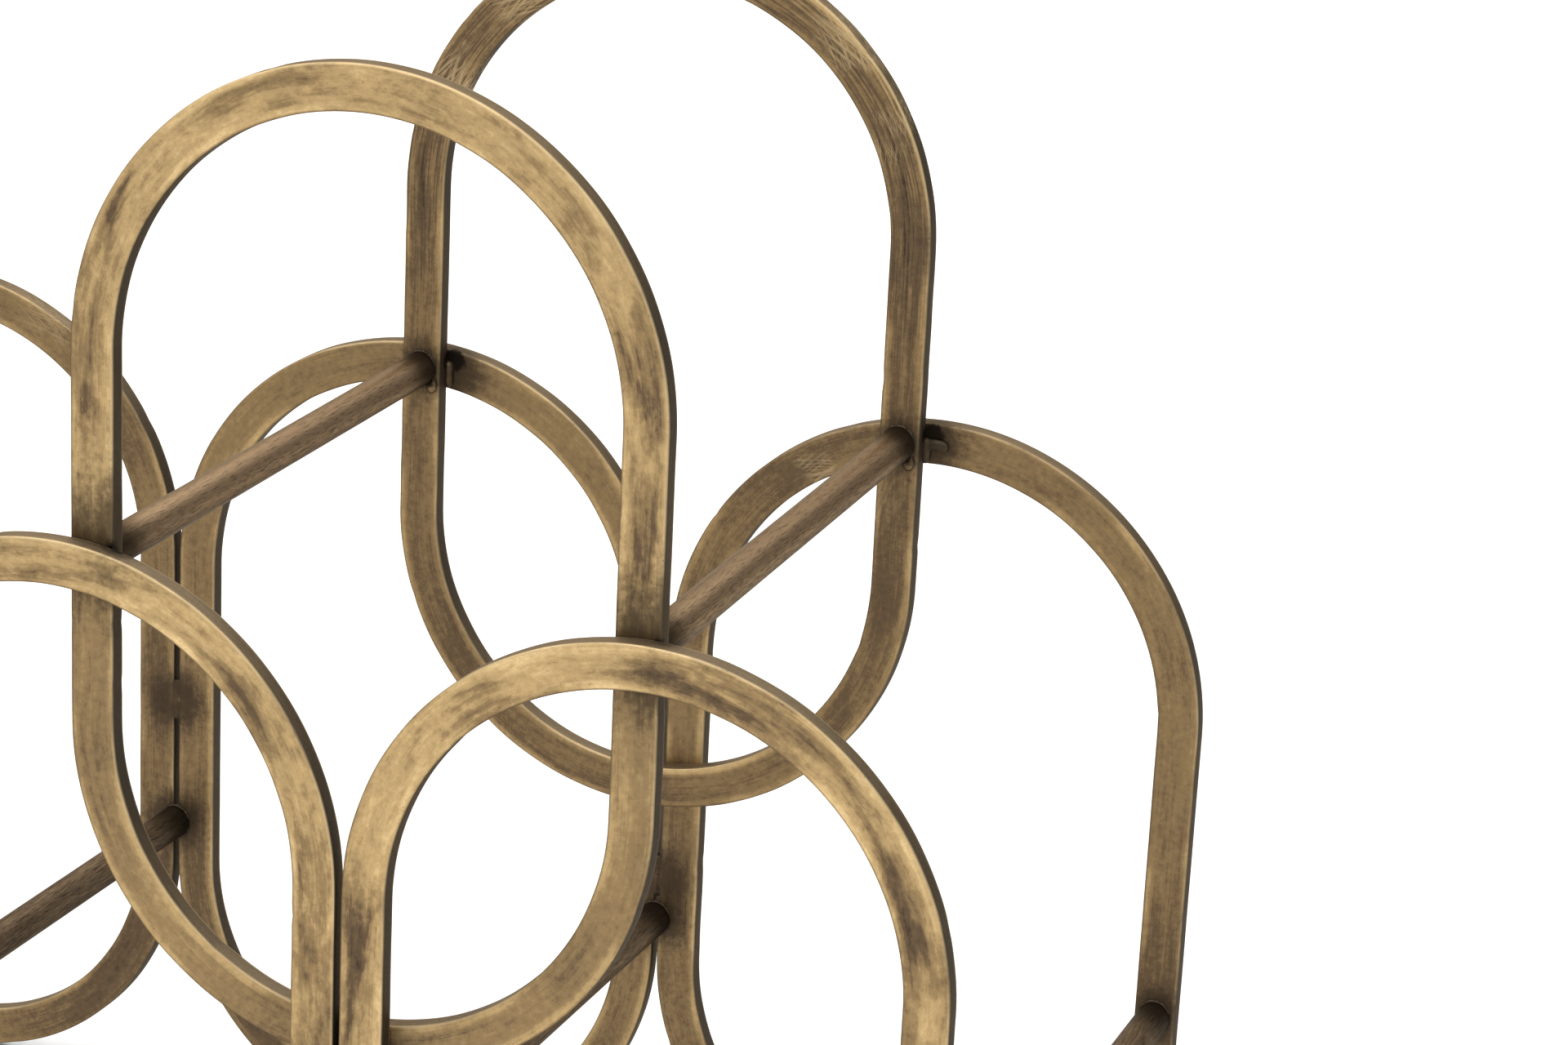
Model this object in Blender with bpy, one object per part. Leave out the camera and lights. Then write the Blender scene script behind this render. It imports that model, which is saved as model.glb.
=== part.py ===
"""Two-row bottle rack welded from flat-bar stadium rings and round cross rods.

X runs along the row, Y from the front frame to the back frame, Z up. The origin is on the
standing surface, under the middle of the rack. All sizes are in metres.
"""
import math

import bmesh
import bpy

# Rings, bent from flat bar: outer size, bar section and the chamfer on its long edges.
RING_WIDTH = 0.114
RING_HEIGHT = 0.183
BAR_FACE = 0.0085
BAR_DEPTH = 0.004
BAR_CHAMFER = 0.0008

# Layout of the rows and the two frames.
LOWER_RING_COUNT = 4
SEAM_GAP = 0.0012
ROW_RISE = 0.092
RACK_DEPTH = 0.1535
WELD_GAP = 0.0003

# The upper rings are welded by hand, so each frame's stand a little to one side of their seam.
UPPER_SHIFT = {"front": 0.0008, "back": -0.003}

# Cross rods between the frames.
ROD_RADIUS = 0.0035
LOWER_ROD_HEIGHT = 0.065
UPPER_ROD_HEIGHT = 0.179

# Weld metal: fillets round the rod ends, beads at the crossings, tacks in the seams.
FILLET_OUTER_RADIUS = 0.0046
FILLET_LENGTH = 0.0014
BEAD_LEG = 0.0018
BEAD_LENGTH = 0.0075
TACK_LENGTH = 0.005
TACK_HEAD_WIDTH = 0.0034
TACK_HEAD_THICKNESS = 0.0007
TACK_STEM_DEPTH = 0.0024
OPEN_SEAM_TACK_HEIGHT = 0.0935
COVERED_SEAM_TACK_HEIGHT = 0.0745

# Facets of the curved shapes. An even arc count puts one flat facet at each ring's foot.
ARC_FACETS = 24
ROD_FACETS = 24
FILLET_FACETS = 16

# Values that follow from the driving dimensions.
PITCH = RING_WIDTH + SEAM_GAP
ARC_RADIUS = RING_WIDTH / 2
HALF_DEPTH = RACK_DEPTH / 2
LOWER_CENTRES = [(i - (LOWER_RING_COUNT - 1) / 2) * PITCH for i in range(LOWER_RING_COUNT)]
SEAMS = [x + PITCH / 2 for x in LOWER_CENTRES[:-1]]
UPPER_CENTRES = SEAMS[::2]
LOWER_INNER_FACE = HALF_DEPTH - BAR_DEPTH
UPPER_OUTER_FACE = LOWER_INNER_FACE - WELD_GAP
UPPER_INNER_FACE = UPPER_OUTER_FACE - BAR_DEPTH
SIDE_BAR_OFFSET = ARC_RADIUS - BAR_FACE / 2
FRAMES = {"front": -1, "back": 1}

# Colours of the finishes.
RING_BRASS = (0.36, 0.24, 0.11, 1.0)
ROD_BRASS = (0.22, 0.15, 0.085, 1.0)
WELD_BRASS = (0.10, 0.065, 0.035, 1.0)


def clear_scene():
    for obj in list(bpy.data.objects):
        bpy.data.objects.remove(obj, do_unlink=True)


def make_material(name, colour, roughness):
    material = bpy.data.materials.new(name)
    material.use_nodes = True
    shader = material.node_tree.nodes["Principled BSDF"]
    shader.inputs["Base Color"].default_value = colour
    shader.inputs["Metallic"].default_value = 1.0
    shader.inputs["Roughness"].default_value = roughness
    return material


def add_object(name, bm, material, smooth=False):
    """Turn a finished bmesh into a named object with its faces pointing out."""
    bmesh.ops.recalc_face_normals(bm, faces=bm.faces)
    mesh = bpy.data.meshes.new(name)
    bm.to_mesh(mesh)
    bm.free()
    if smooth:
        mesh.shade_smooth()
        mesh.set_sharp_from_angle(angle=math.radians(35))
    mesh.materials.append(material)
    obj = bpy.data.objects.new(name, mesh)
    bpy.context.collection.objects.link(obj)
    return obj


def join_loops(bm, loops, closed):
    """Skin a list of equal vertex loops, as a closed ring or with an end cap on each end."""
    count = len(loops[0])
    spans = len(loops) if closed else len(loops) - 1
    for i in range(spans):
        here = loops[i]
        after = loops[(i + 1) % len(loops)]
        for j in range(count):
            k = (j + 1) % count
            bm.faces.new((here[j], here[k], after[k], after[j]))
    if not closed:
        bm.faces.new(loops[0])
        bm.faces.new(loops[-1])


def bar_section():
    """Chamfered bar section as (distance in from the outer edge, distance along depth)."""
    c = BAR_CHAMFER
    return [
        (c, 0.0),
        (BAR_FACE - c, 0.0),
        (BAR_FACE, c),
        (BAR_FACE, BAR_DEPTH - c),
        (BAR_FACE - c, BAR_DEPTH),
        (c, BAR_DEPTH),
        (0.0, BAR_DEPTH - c),
        (0.0, c),
    ]


def ring_stations():
    """Corners of the stadium as (angle, height of the arc's centre over the ring's foot)."""
    step = math.pi / ARC_FACETS
    top = [((k + 0.5) * step, RING_HEIGHT - ARC_RADIUS) for k in range(ARC_FACETS)]
    foot = [(math.pi + (k + 0.5) * step, ARC_RADIUS) for k in range(ARC_FACETS)]
    return top + foot


def make_ring(name, centre_x, foot_z, outer_face, side, material):
    """A stadium ring whose outer face is at y = side * outer_face.

    The facets touch the true arc, so the ring has its full size across the flats.
    """
    bm = bmesh.new()
    corner_scale = 1 / math.cos(math.pi / ARC_FACETS / 2)
    loops = []
    for angle, centre_height in ring_stations():
        loop = []
        for inset, depth in bar_section():
            radius = (ARC_RADIUS - inset) * corner_scale
            x = centre_x + radius * math.cos(angle)
            z = foot_z + centre_height + radius * math.sin(angle)
            loop.append(bm.verts.new((x, side * (outer_face - depth), z)))
        loops.append(loop)
    join_loops(bm, loops, closed=True)
    return add_object(name, bm, material, smooth=True)


def make_rod(name, front_x, back_x, z, half_length, material):
    """A round rod from front to back, a weld gap short of the ring at each end."""
    bm = bmesh.new()
    loops = []
    for x, y in ((front_x, -half_length), (back_x, half_length)):
        loop = []
        for k in range(ROD_FACETS):
            angle = 2 * math.pi * k / ROD_FACETS
            point = (x + ROD_RADIUS * math.cos(angle), y, z + ROD_RADIUS * math.sin(angle))
            loop.append(bm.verts.new(point))
        loops.append(loop)
    join_loops(bm, loops, closed=False)
    return add_object(name, bm, material, smooth=True)


def make_rod_fillet(name, x, z, face, side, material):
    """A collar of weld metal round a rod's end, lying on the ring's face."""
    inner = ROD_RADIUS + WELD_GAP
    thickness = FILLET_OUTER_RADIUS - inner
    profile = [
        (inner, 0.0),
        (FILLET_OUTER_RADIUS, 0.0),
        (inner + 0.45 * thickness, 0.45 * FILLET_LENGTH),
        (inner, FILLET_LENGTH),
    ]
    bm = bmesh.new()
    loops = []
    for k in range(FILLET_FACETS):
        angle = 2 * math.pi * k / FILLET_FACETS
        loop = []
        for radius, rise in profile:
            point_x = x + radius * math.cos(angle)
            point_z = z + radius * math.sin(angle)
            loop.append(bm.verts.new((point_x, side * (face - rise), point_z)))
        loops.append(loop)
    join_loops(bm, loops, closed=True)
    return add_object(name, bm, material, smooth=True)


def make_crossing_bead(name, x, z, face, side, outward, material):
    """A three-sided bead in the corner between an upper side bar and a lower ring's top."""
    stations = [(-0.5, 0.45), (-0.32, 0.85), (0.0, 1.0), (0.32, 0.85), (0.5, 0.45)]
    corner = [(0.0, 0.0), (1.0, 0.0), (0.72, 0.72), (0.0, 1.0)]
    bm = bmesh.new()
    loops = []
    for along, swell in stations:
        loop = []
        for across, out in corner:
            point_x = x + outward * across * swell * BEAD_LEG
            point_y = side * (face - out * swell * BEAD_LEG)
            loop.append(bm.verts.new((point_x, point_y, z + along * BEAD_LENGTH)))
        loops.append(loop)
    join_loops(bm, loops, closed=False)
    return add_object(name, bm, material)


def make_seam_tack(name, x, z, face, side, material):
    """A tack weld: a stem in the seam and a flat head over the two bars it joins."""
    stem = SEAM_GAP / 2 - WELD_GAP
    head = TACK_HEAD_WIDTH / 2
    outline = [
        (-stem, -TACK_STEM_DEPTH),
        (stem, -TACK_STEM_DEPTH),
        (stem, WELD_GAP),
        (head, WELD_GAP),
        (0.6 * head, WELD_GAP + TACK_HEAD_THICKNESS),
        (-0.6 * head, WELD_GAP + TACK_HEAD_THICKNESS),
        (-head, WELD_GAP),
        (-stem, WELD_GAP),
    ]
    bm = bmesh.new()
    loops = []
    for end in (-0.5, 0.5):
        loop = []
        for across, rise in outline:
            loop.append(bm.verts.new((x + across, side * (face - rise), z + end * TACK_LENGTH)))
        loops.append(loop)
    join_loops(bm, loops, closed=False)
    return add_object(name, bm, material)


def build_rings(material):
    for frame, side in FRAMES.items():
        for i, x in enumerate(LOWER_CENTRES, start=1):
            make_ring(f"{frame}_lower_ring_{i}", x, 0.0, HALF_DEPTH, side, material)
        for i, seam in enumerate(UPPER_CENTRES, start=1):
            x = seam + UPPER_SHIFT[frame]
            make_ring(f"{frame}_upper_ring_{i}", x, ROW_RISE, UPPER_OUTER_FACE, side, material)


def rod_places():
    """Every rod as (name, x at each frame, z, y of the ring face it ends on)."""
    last = LOWER_CENTRES[-1] + SIDE_BAR_OFFSET
    lower = [-last] + SEAMS + [last]
    upper = [x + s * SIDE_BAR_OFFSET for x in UPPER_CENTRES for s in (-1, 1)]
    places = []
    for i, x in enumerate(lower, start=1):
        ends = {frame: x for frame in FRAMES}
        places.append((f"lower_rod_{i}", ends, LOWER_ROD_HEIGHT, LOWER_INNER_FACE))
    for i, x in enumerate(upper, start=1):
        ends = {frame: x + UPPER_SHIFT[frame] for frame in FRAMES}
        places.append((f"upper_rod_{i}", ends, UPPER_ROD_HEIGHT, UPPER_INNER_FACE))
    return places


def build_rods(rod_material, weld_material):
    for name, ends, z, ring_face in rod_places():
        face = ring_face - WELD_GAP
        make_rod(name, ends["front"], ends["back"], z, face, rod_material)
        for frame, side in FRAMES.items():
            make_rod_fillet(f"{name}_{frame}_weld", ends[frame], z, face, side, weld_material)


def build_crossing_beads(material):
    """One bead where each upper side bar crosses a lower ring's top, on its outward side."""
    crossing_height = RING_HEIGHT - BAR_FACE / 2
    for frame, side in FRAMES.items():
        number = 0
        for seam in UPPER_CENTRES:
            outward = math.copysign(1, seam)
            for bar in (-1, 1):
                number += 1
                bar_centre = seam + UPPER_SHIFT[frame] + bar * SIDE_BAR_OFFSET
                x = bar_centre + outward * (BAR_FACE / 2 + WELD_GAP)
                make_crossing_bead(f"{frame}_crossing_weld_{number}", x, crossing_height,
                                   LOWER_INNER_FACE - WELD_GAP, side, outward, material)


def build_seam_tacks(material):
    """One tack in each seam, kept below the upper ring where a seam has one over it."""
    for frame, side in FRAMES.items():
        for i, x in enumerate(SEAMS, start=1):
            covered = x in UPPER_CENTRES
            height = COVERED_SEAM_TACK_HEIGHT if covered else OPEN_SEAM_TACK_HEIGHT
            make_seam_tack(f"{frame}_seam_weld_{i}", x, height, LOWER_INNER_FACE, side, material)


def main():
    clear_scene()
    ring_brass = make_material("ring_brass", RING_BRASS, 0.38)
    rod_brass = make_material("rod_brass", ROD_BRASS, 0.42)
    weld_brass = make_material("weld_brass", WELD_BRASS, 0.55)
    build_rings(ring_brass)
    build_rods(rod_brass, weld_brass)
    build_crossing_beads(weld_brass)
    build_seam_tacks(weld_brass)


main()
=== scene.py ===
"""The looks of the bottle rack: antique brass rings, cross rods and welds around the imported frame."""

import math
import random
from types import SimpleNamespace

import bmesh
import bpy
import numpy as np
from mathutils import Euler, Matrix, Vector


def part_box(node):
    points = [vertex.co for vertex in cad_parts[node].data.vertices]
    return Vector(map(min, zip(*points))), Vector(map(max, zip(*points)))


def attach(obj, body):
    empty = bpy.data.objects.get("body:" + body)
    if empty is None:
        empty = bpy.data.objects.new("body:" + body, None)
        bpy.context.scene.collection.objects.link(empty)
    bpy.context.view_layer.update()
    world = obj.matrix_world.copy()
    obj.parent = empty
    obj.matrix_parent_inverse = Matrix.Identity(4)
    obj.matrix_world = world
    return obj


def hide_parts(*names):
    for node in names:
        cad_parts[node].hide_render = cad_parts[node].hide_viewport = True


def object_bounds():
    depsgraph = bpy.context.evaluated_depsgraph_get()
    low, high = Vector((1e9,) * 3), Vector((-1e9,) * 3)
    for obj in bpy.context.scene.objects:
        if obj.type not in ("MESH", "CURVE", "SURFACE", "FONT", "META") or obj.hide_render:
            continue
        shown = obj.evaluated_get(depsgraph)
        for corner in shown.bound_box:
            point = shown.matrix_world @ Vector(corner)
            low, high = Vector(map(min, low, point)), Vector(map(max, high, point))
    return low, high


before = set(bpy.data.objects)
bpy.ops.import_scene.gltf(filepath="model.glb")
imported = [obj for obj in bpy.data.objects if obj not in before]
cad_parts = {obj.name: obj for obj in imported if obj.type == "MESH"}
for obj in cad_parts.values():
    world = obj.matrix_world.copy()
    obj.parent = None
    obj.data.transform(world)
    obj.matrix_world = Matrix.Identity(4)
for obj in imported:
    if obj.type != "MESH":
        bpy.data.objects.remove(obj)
cad_box = [list(corner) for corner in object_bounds()]

BODY = "root"
SIDES = {"front": -1, "back": 1}
LOWER_COUNT = 4
UPPER_COUNT = 2
ROD_SEED = 101
WELD_SEED = 400

# Softened edges of the flat bar: how far they reach across the face and down the side.
EDGE_ON_FACE = 0.0010
EDGE_ON_SIDE = 0.00036

# Mesh steps.
ARC_STEPS = 144
STRAIGHT_STEPS = 50
EDGE_STEPS = 6
FACE_STEPS = 6
SIDE_STEPS = 3
ROD_SIDES = 48
ROD_STEPS = 60
LUMP_SUBDIVISIONS = 3
BEAD_VOXEL = 0.00022
BEAD_SMOOTHING = 10

# Uneven edges: a slow wander (waves, and their fewest and most turns around the ring) and dings.
EDGE_WANDER = 0.00009
EDGE_WAVES = (5, 9, 40)
DINGS_PER_RING = 9
DING_DEPTH = 0.00018
DING_SHARE = (0.3, 1.0)
DING_TURN = (0.010, 0.025)
RING_NOISE_STEP = 0.41

# Rods: how far they run into the bars, how uneven they are drawn, and how dark they are painted: darker on
# the lower rods as painted shade, lighter on the upper ones, with a random spread of tone.
ROD_BURY = 0.0006
ROD_UNEVEN = 0.006
ROD_WAVES = (4, 3, 11)
ROD_ROW_SHADE = {"low": 0.12, "high": -0.14}
ROD_TONE_SPREAD = 0.08

# Heat and soot left by the welds, as distances from them. The rod ends darken from weld heating and
# painted shade, and a black painted shade stands in for the notch in the corner above each crossing weld.
HEAT_REACH = 0.0082
HEAT_CLIMB = 1.6
HEAT_SPREAD = {"front_upper": 1.25, "front_lower": 0.62, "back_upper": 0.7, "back_lower": 0.88}
ROD_END_HEAT_AND_SHADE_REACH = 0.011
NOTCH_SHADE_REACH = 0.0026
NOTCH_DEPTH = 0.0034
NOTCH_OUT = 0.0001

# Which way an edge faces: edges facing up and right get a painted highlight, the others turn brown; and
# how dark each ring is painted: painted shade on the back rings, towards the bottom and where the upper
# rings pass behind the lower ones, with brown toner on the back upper arches.
HIGHLIGHT_UP = 0.75
HIGHLIGHT_RIGHT = 0.45
FRAME_SHADE = {"front": 0.0, "back": 0.28}
SHADE_LOW = 0.10
TONER_ARCH = 0.11
ARCH_BELOW_TOP = (0.11, 0.05)
SHADE_BEHIND = 0.20
HIDDEN_FADE = (-0.012, 0.004)
HIDDEN_AT_BACK = 0.3

# Weld metal. A crossing weld on an outer side bar also has a short tail along the lower ring.
WELD_GAP = 0.0003
BEAD_PROUD = 0.0004
LUMP_SPREAD = (0.9, 1.1)
LUMP_SUNK = 0.1
COLLAR_LEG = 0.0005
COLLAR_LUMPS = 26
COLLAR_JITTER = 0.25
COLLAR_SAG = 0.2
COLLAR_REACH = 0.35
COLLAR_NARROWING = 0.12
DRIP_LEAN = (0.35, 0.75)
DRIP_RADII = (0.0012, 0.0010, 0.0016)
DRIP_HANG = (0.0006, 0.0012)
FILLET_SIZE = 0.0012
FILLET_FOOT = 0.0006
FILLET_LUMPS = 12
TAIL_LUMPS = 9
TAIL_STEP = 0.0005
TAIL_SIZE = 0.0012
TAIL_SPREAD = (0.95, 1.05)
TAIL_THICKNESS = 0.0008
TAIL_SAG = 0.0003
TAIL_TURN = 0.35
CROWN_HEIGHT = {"tailed": 0.0042, "plain": 0.0016}
SEAM_STRETCH = 1.5
SEAM_LUMPS = 11
SEAM_WIDE = (0.75, 0.85)
SEAM_INSIDE = (0.0006, 0.0008)
SEAM_HEAD_RADII = (0.0008, 0.0010)
SEAM_ROOT_DEPTH = 0.0007
SEAM_ROOT_WIDE = 0.9
SEAM_ROOT_RADII = (0.0010, 0.0010)

# Colours, from bright brass to soot. The worn gold also paints the highlight on edges facing up and right,
# the lit flank paints light on sides facing up, and the soot black also paints shade in the notches and at
# the rod ends.
BRIGHT_GOLD = (0.65, 0.472, 0.238)
WORN_AND_HIGHLIGHT_GOLD = (0.60, 0.455, 0.255)
GOLD = (0.455, 0.318, 0.150)
OLIVE = (0.27, 0.183, 0.087)
BROWN = (0.130, 0.086, 0.048)
UMBER = (0.055, 0.038, 0.023)
SOOT_AND_SHADE = (0.012, 0.008, 0.005)
FLANK = (0.048, 0.039, 0.030)
FLANK_LIT = (0.185, 0.138, 0.085)
ROD_TAN = (0.315, 0.216, 0.128)
ROD_BROWN = (0.130, 0.090, 0.054)
ROD_DARK = (0.050, 0.035, 0.023)
ROD_PIT = (0.028, 0.020, 0.012)
BEAD_BROWN = (0.075, 0.051, 0.030)
PAPER_SHADE = (0.90, 0.90, 0.895)
PAPER = (0.93, 0.93, 0.925)

# Lacquer, and the tint of the metal where it is seen edge on.
EDGE_TINT = (0.58, 0.52, 0.44)
COAT = 0.05
COAT_ROUGHNESS = 0.35

# Patterns on the bars: two numbers for the way around the bend, then one for across the face.
# The depth shifts make them differ between the face and the sides.
STREAK = (45, 45, 1100)
HAIR = (130, 130, 4600)
BRUSH = (75, 75, 2300)
CLOUD = (40, 40, 150)
RUB = (34, 34, 110)
FLECK = (240, 240, 620)
DEPTH_SHIFT = 700.0
CLOUD_DEPTH_SHIFT = 120.0
DRIFT = 16.0
MOTTLE = 700.0
SPECK = 1900.0
DUST = 2500.0
SCRATCHES = ((0.13, 8, 1150), (-0.22, 9, 1250), (0.36, 11, 950))
TONE_BASE = 0.39
BRASS_TONES = ((0.0, BRIGHT_GOLD), (0.30, GOLD), (0.58, OLIVE), (0.86, BROWN), (1.15, UMBER))
RELIEF = 0.00007

# Patterns along the rods and on the beads.
ROD_GRAIN = (3600, 330, 3600)
ROD_LINE = (3400, 110, 3400)
ROD_CLOUD = (160, 60, 160)
BEAD_LUMP = 420.0
BEAD_TONES = ((0.30, SOOT_AND_SHADE), (0.85, UMBER), (1.15, BEAD_BROWN), (1.5, OLIVE))
BEAD_RELIEF = 0.00012

# Floor, lights (place, aim, size, radiance) and the brightness of the room behind and in front.
FLOOR_SIZE = 12.0
FLOOR_SQUARES = 8
PAPER_TOOTH = 60.0
PAPER_RELIEF = 0.0003
SOFTBOXES = {
    "softbox_top": ((-0.25, -0.55, 1.5), (0, -0.1, 0.1), (2.4, 1.8), 2.0),
    "softbox_behind": ((-0.6, 1.9, 1.9), (-0.6, 1.9, 0), (3.2, 2.0), 2.2),
}
ROOM_FRONT = (0.95, 0.95, 0.95, 1)
ROOM_BACK = (0.42, 0.42, 0.425, 1)
ROOM_TURN = (-0.3, 0.5)
BACKDROP = (1.0, 1.0, 1.0, 1)

# Camera, in the rack's frame: metres, radians and millimetres of lens.
CAMERA_PLACE = (0.42987, -0.70288, 0.42503)
CAMERA_YAW = -0.3578
CAMERA_PITCH = 0.3128
CAMERA_ROLL = 0.0504
CAMERA_LENS = 98.17
CAMERA_SENSOR = 36.0


# ---------------------------------------------------------------- places read from the frame

def box_centre(node):
    low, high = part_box(node)
    return (low + high) / 2


def bar_face_width():
    """The end rod is centred on the end ring's side bar, which gives the bar's width."""
    ring_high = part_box(f"front_lower_ring_{LOWER_COUNT}")[1]
    return 2 * (ring_high.x - box_centre(f"lower_rod_{LOWER_COUNT + 1}").x)


BAR_FACE = bar_face_width()
BAR_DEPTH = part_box("front_lower_ring_1")[1].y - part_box("front_lower_ring_1")[0].y


def ring_nodes():
    """Every ring's node name."""
    for side in SIDES:
        for i in range(1, LOWER_COUNT + 1):
            yield f"{side}_lower_ring_{i}"
        for i in range(1, UPPER_COUNT + 1):
            yield f"{side}_upper_ring_{i}"


def side_bar_x(ring, hand):
    """The middle of a ring's left (-1) or right (1) side bar."""
    low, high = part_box(ring)
    edge = high.x if hand > 0 else low.x
    return edge - hand * BAR_FACE / 2


def nearest_side_bar(point):
    """The middle of the upper side bar closest to a point, across the rack."""
    side = "front" if point.y < 0 else "back"
    bars = [side_bar_x(f"{side}_upper_ring_{i}", hand)
            for i in range(1, UPPER_COUNT + 1) for hand in (-1, 1)]
    return min(bars, key=lambda x: abs(x - point.x))


def rod_places():
    """Every rod's node name with the middles of its front and back ends."""
    places = []
    for i in range(1, LOWER_COUNT + 2):
        node = f"lower_rod_{i}"
        x = box_centre(node).x
        places.append((node, x, x))
    for i in range(1, 2 * UPPER_COUNT + 1):
        ring = (i + 1) // 2
        hand = -1 if i % 2 else 1
        ends = [side_bar_x(f"{side}_upper_ring_{ring}", hand) for side in SIDES]
        places.append((f"upper_rod_{i}", *ends))
    rods = []
    for node, front_x, back_x in places:
        low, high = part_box(node)
        z = (low.z + high.z) / 2
        rods.append((node, Vector((front_x, low.y, z)), Vector((back_x, high.y, z))))
    return rods


def rod_radius():
    low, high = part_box("lower_rod_1")
    return (high.z - low.z) / 2


def notch_centres():
    """The corners above each crossing weld, where the ring's crown meets the bar, which get a black
    painted shade for the notch there.
    """
    centres = []
    for node in WELD_NODES:
        if "crossing" in node:
            low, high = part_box(node)
            middle = (low + high) / 2
            outward = math.copysign(NOTCH_OUT, middle.x - nearest_side_bar(middle))
            face_y = high.y if middle.y > 0 else low.y
            centres.append((middle.x + outward, face_y, high.z - NOTCH_DEPTH / 2))
    return np.array(centres)


ROD_RADIUS = rod_radius()
WELD_NODES = [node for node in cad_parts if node.endswith("_weld") or "_weld_" in node]
WELD_CENTRES = np.array([box_centre(node)[:] for node in WELD_NODES])
NOTCH_CENTRES = notch_centres()
UPPER_OUTER_BAR = box_centre(f"upper_rod_{2 * UPPER_COUNT}").x - BAR_FACE


# ---------------------------------------------------------------- meshes

def make_piece(name, mesh, material, slot, *nodes):
    """A shown piece that rides on the rack and stands for CAD nodes; its slot argument is not used."""
    piece = bpy.data.objects.new(name, mesh)
    bpy.context.scene.collection.objects.link(piece)
    mesh.materials.append(material)
    mesh.shade_smooth()
    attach(piece, BODY)
    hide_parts(*nodes)
    return piece


def grid_mesh(name, points, closed_along):
    """A mesh from points[station][section], closed around the section."""
    stations, around, _ = points.shape
    faces = []
    last = stations if closed_along else stations - 1
    for i in range(last):
        a = i * around
        b = (i + 1) % stations * around
        for j in range(around):
            k = (j + 1) % around
            faces.append((a + j, b + j, b + k, a + k))
    if not closed_along:
        faces.append(tuple(range(around)))
        faces.append(tuple(range((stations - 1) * around, stations * around))[::-1])
    mesh = bpy.data.meshes.new(name)
    mesh.from_pydata(points.reshape(-1, 3).tolist(), [], faces)
    mesh.update()
    outward = bmesh.new()
    outward.from_mesh(mesh)
    bmesh.ops.recalc_face_normals(outward, faces=outward.faces)
    outward.to_mesh(mesh)
    outward.free()
    return mesh


def store_vectors(mesh, name, values):
    layer = mesh.attributes.new(name, "FLOAT_VECTOR", "POINT")
    layer.data.foreach_set("vector", np.ascontiguousarray(values, np.float32).ravel())


def store_numbers(mesh, name, values):
    layer = mesh.attributes.new(name, "FLOAT", "POINT")
    layer.data.foreach_set("value", np.ascontiguousarray(values, np.float32).ravel())


def mesh_points(mesh):
    flat = np.zeros(len(mesh.vertices) * 3, np.float32)
    mesh.vertices.foreach_get("co", flat)
    return flat.reshape(-1, 3)


def ease(values, low, high):
    """A smooth step from 0 at low to 1 at high."""
    t = np.clip((values - low) / (high - low), 0, 1)
    return t * t * (3 - 2 * t)


def scorch_and_shade_at(node, points):
    """How dark the welds make each point: 0 to 1 from weld heating, up to 2 with the black painted shade
    of the notches above the crossings.
    """
    climb = HEAT_CLIMB if node.startswith("front_upper") else 1.0
    reach = HEAT_REACH * HEAT_SPREAD.get(node.rsplit("_", 2)[0], 1.0)
    near = np.full(len(points), 1.0)
    for centre in WELD_CENTRES:
        away = points - centre
        away[:, 2] = np.where(away[:, 2] > 0, away[:, 2] / climb, away[:, 2])
        near = np.minimum(near, np.linalg.norm(away, axis=1))
    # Distance to the nearest notch, which gets a black painted shade.
    soot_and_shade = np.full(len(points), 1.0)
    for centre in NOTCH_CENTRES:
        soot_and_shade = np.minimum(soot_and_shade, np.linalg.norm(points - centre, axis=1))
    return np.exp(-(near / reach) ** 2) + np.exp(-(soot_and_shade / NOTCH_SHADE_REACH) ** 4)


def toner_and_shade_at(node, points):
    """How much darker each point is painted: painted shade on the back rings, towards the bottom and on
    the upper rings where they pass behind the lower rings, and brown toner on the back upper arches; least
    on the front lower rings, most where rings overlap.
    """
    # Painted shade on the back rings, and more towards the bottom.
    tone = FRAME_SHADE["back" if node.startswith("back") else "front"]
    total = tone + SHADE_LOW * (1 - ease(points[:, 2], cad_box[0][2], cad_box[1][2]))
    if node.startswith("back_upper"):
        starts, ends = (cad_box[1][2] - below for below in ARCH_BELOW_TOP)
        total += TONER_ARCH * ease(points[:, 2], starts, ends)
    if "upper" in node:
        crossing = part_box("front_lower_ring_1")[1].z
        # Painted shade on the upper rings below the lower rings' crowns, where they pass behind them.
        hidden = 1 - ease(points[:, 2], *(crossing + rise for rise in HIDDEN_FADE))
        total += SHADE_BEHIND * hidden * (1 if node.startswith("front") else HIDDEN_AT_BACK)
    return total


def waves(turn, draw, count, first, last):
    """A smooth periodic wander between -1 and 1 around a ring."""
    total = np.zeros_like(turn)
    for _ in range(count):
        total += np.sin(draw.randint(first, last) * turn + draw.uniform(0, 2 * math.pi))
    return total / count


# ---------------------------------------------------------------- rings

def bar_section():
    """The flat bar's rounded outline as (across the face, through the depth) pairs."""
    flat = BAR_FACE / 2 - EDGE_ON_FACE
    tall = BAR_DEPTH / 2 - EDGE_ON_SIDE
    outline = []
    for quarter, (sx, sy) in enumerate(((1, 1), (-1, 1), (-1, -1), (1, -1))):
        corner = []
        for k in range(EDGE_STEPS + 1):
            angle = math.pi / 2 * k / EDGE_STEPS
            corner.append((sx * (flat + EDGE_ON_FACE * math.cos(angle)),
                           sy * (tall + EDGE_ON_SIDE * math.sin(angle))))
        outline += corner if quarter % 2 == 0 else corner[::-1]
        start = outline[-1]
        if quarter % 2 == 0:
            outline += [(start[0] * (1 - 2 * k / FACE_STEPS), start[1]) for k in range(1, FACE_STEPS)]
        else:
            outline += [(start[0], start[1] * (1 - 2 * k / SIDE_STEPS)) for k in range(1, SIDE_STEPS)]
    return np.array(outline)


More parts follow.
